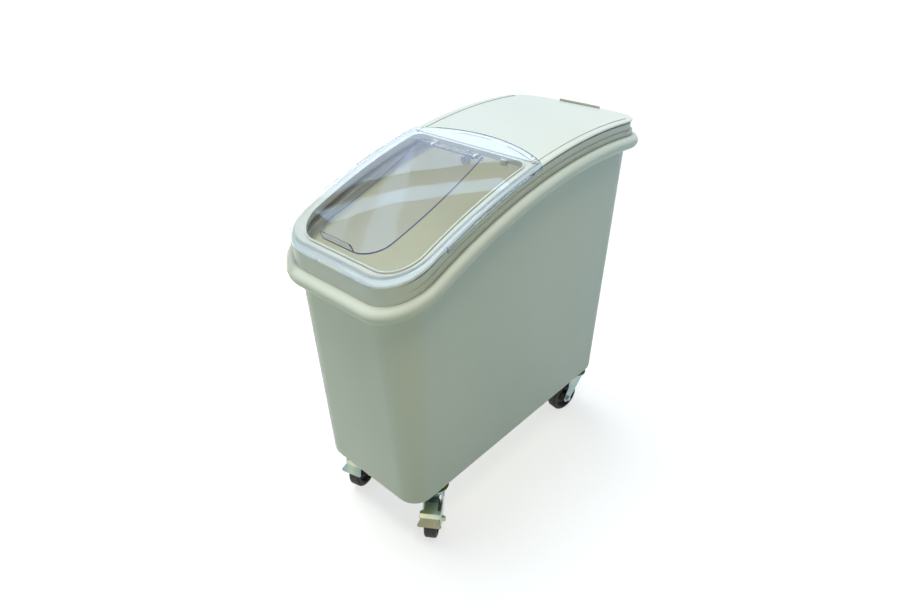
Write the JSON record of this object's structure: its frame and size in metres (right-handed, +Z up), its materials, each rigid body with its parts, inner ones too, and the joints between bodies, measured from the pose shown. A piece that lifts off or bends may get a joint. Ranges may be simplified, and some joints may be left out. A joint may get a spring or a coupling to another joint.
{
  "type": "rolling ingredient bin",
  "caption": "Slant-top rolling ingredient bin: tapered tub on swivel casters, lift-off lid, clear cover that slides back over the lid and a hinged clear inner flap.",
  "frame": {"origin": "centre of the bounding box on the floor", "axes": "+Z up, low front towards -Y, width along X"},
  "size_m": [0.33, 0.709, 0.7232],
  "materials": {
    "tub_white": "satin",
    "lid_white": "satin",
    "clear_cover": "gloss",
    "clear_flap": "gloss",
    "tyre_grey": "matte",
    "hub_grey": "satin",
    "plated_steel": "bright zinc",
    "bright_steel": "polished"
  },
  "bodies": {
    "tub": {"tub": "tub_white", "caster_screws": "plated_steel", "caster_plate_front_right": "plated_steel", "bearing_balls_front_right": "bright_steel", "kingpin_front_right": "plated_steel", "caster_plate_front_left": "plated_steel", "bearing_balls_front_left": "bright_steel", "kingpin_front_left": "plated_steel", "caster_plate_rear_right": "plated_steel", "bearing_balls_rear_right": "bright_steel", "kingpin_rear_right": "plated_steel", "caster_plate_rear_left": "plated_steel", "bearing_balls_rear_left": "bright_steel", "kingpin_rear_left": "plated_steel"},
    "lid": {"lid": "lid_white", "flap_hinge_rod": "bright_steel"},
    "clear_cover": {"clear_cover": "clear_cover"},
    "inner_flap": {"inner_flap": "clear_flap"},
    "fork_front_right": {"fork_front_right": "plated_steel", "axle_bolt_front_right": "plated_steel", "axle_nut_front_right": "plated_steel", "axle_sleeve_front_right": "plated_steel", "brake_pivot_front_right": "plated_steel"},
    "wheel_front_right": {"wheel_hub_front_right": "hub_grey", "tyre_front_right": "tyre_grey"},
    "pedal_front_right": {"brake_pedal_front_right": "plated_steel"},
    "fork_front_left": {"fork_front_left": "plated_steel", "axle_bolt_front_left": "plated_steel", "axle_nut_front_left": "plated_steel", "axle_sleeve_front_left": "plated_steel", "brake_pivot_front_left": "plated_steel"},
    "wheel_front_left": {"wheel_hub_front_left": "hub_grey", "tyre_front_left": "tyre_grey"},
    "pedal_front_left": {"brake_pedal_front_left": "plated_steel"},
    "fork_rear_right": {"fork_rear_right": "plated_steel", "axle_bolt_rear_right": "plated_steel", "axle_nut_rear_right": "plated_steel", "axle_sleeve_rear_right": "plated_steel"},
    "wheel_rear_right": {"wheel_hub_rear_right": "hub_grey", "tyre_rear_right": "tyre_grey"},
    "fork_rear_left": {"fork_rear_left": "plated_steel", "axle_bolt_rear_left": "plated_steel", "axle_nut_rear_left": "plated_steel", "axle_sleeve_rear_left": "plated_steel"},
    "wheel_rear_left": {"wheel_hub_rear_left": "hub_grey", "tyre_rear_left": "tyre_grey"}
  },
  "joints": [
    {"name": "lid_lift", "type": "slide", "parent": "tub", "child": "lid", "axis": [0, 0, 1], "range_m": [0, 0.12]},
    {"name": "cover_slide", "type": "hinge", "parent": "lid", "child": "clear_cover", "pos_m": [0, 0.185, -0.403], "axis": [-1, 0, 0], "range_deg": [0, 15.2]},
    {"name": "flap_hinge", "type": "hinge", "parent": "lid", "child": "inner_flap", "pos_m": [0, -0.029, 0.693], "axis": [1, 0, 0], "range_deg": [0, 60]},
    {"name": "swivel_front_right", "type": "hinge", "parent": "tub", "child": "fork_front_right", "pos_m": [0.095, -0.217, 0.1], "axis": [0, 0, 1], "continuous": true},
    {"name": "wheel_spin_front_right", "type": "hinge", "parent": "fork_front_right", "child": "wheel_front_right", "pos_m": [0.11508, -0.24567, 0.0375], "axis": [0.8192, 0.5736, 0], "continuous": true},
    {"name": "brake_pedal_front_right", "type": "hinge", "parent": "fork_front_right", "child": "pedal_front_right", "pos_m": [0.10418, -0.23011, 0.086], "axis": [0.8192, 0.5736, 0], "range_deg": [0, 7]},
    {"name": "swivel_front_left", "type": "hinge", "parent": "tub", "child": "fork_front_left", "pos_m": [-0.095, -0.217, 0.1], "axis": [0, 0, 1], "continuous": true},
    {"name": "wheel_spin_front_left", "type": "hinge", "parent": "fork_front_left", "child": "wheel_front_left", "pos_m": [-0.08594, -0.25081, 0.0375], "axis": [0.9659, 0.2588, 0], "continuous": true},
    {"name": "brake_pedal_front_left", "type": "hinge", "parent": "fork_front_left", "child": "pedal_front_left", "pos_m": [-0.09086, -0.23245, 0.086], "axis": [0.9659, 0.2588, 0], "range_deg": [0, 7]},
    {"name": "swivel_rear_right", "type": "hinge", "parent": "tub", "child": "fork_rear_right", "pos_m": [0.095, 0.277, 0.1], "axis": [0, 0, 1], "continuous": true},
    {"name": "wheel_spin_rear_right", "type": "hinge", "parent": "fork_rear_right", "child": "wheel_rear_right", "pos_m": [0.08892, 0.24253, 0.0375], "axis": [0.9848, -0.1736, 0], "continuous": true},
    {"name": "swivel_rear_left", "type": "hinge", "parent": "tub", "child": "fork_rear_left", "pos_m": [-0.095, 0.277, 0.1], "axis": [0, 0, 1], "continuous": true},
    {"name": "wheel_spin_rear_left", "type": "hinge", "parent": "fork_rear_left", "child": "wheel_rear_left", "pos_m": [-0.09378, 0.24202, 0.0375], "axis": [0.9994, 0.0349, 0], "continuous": true}
  ]
}
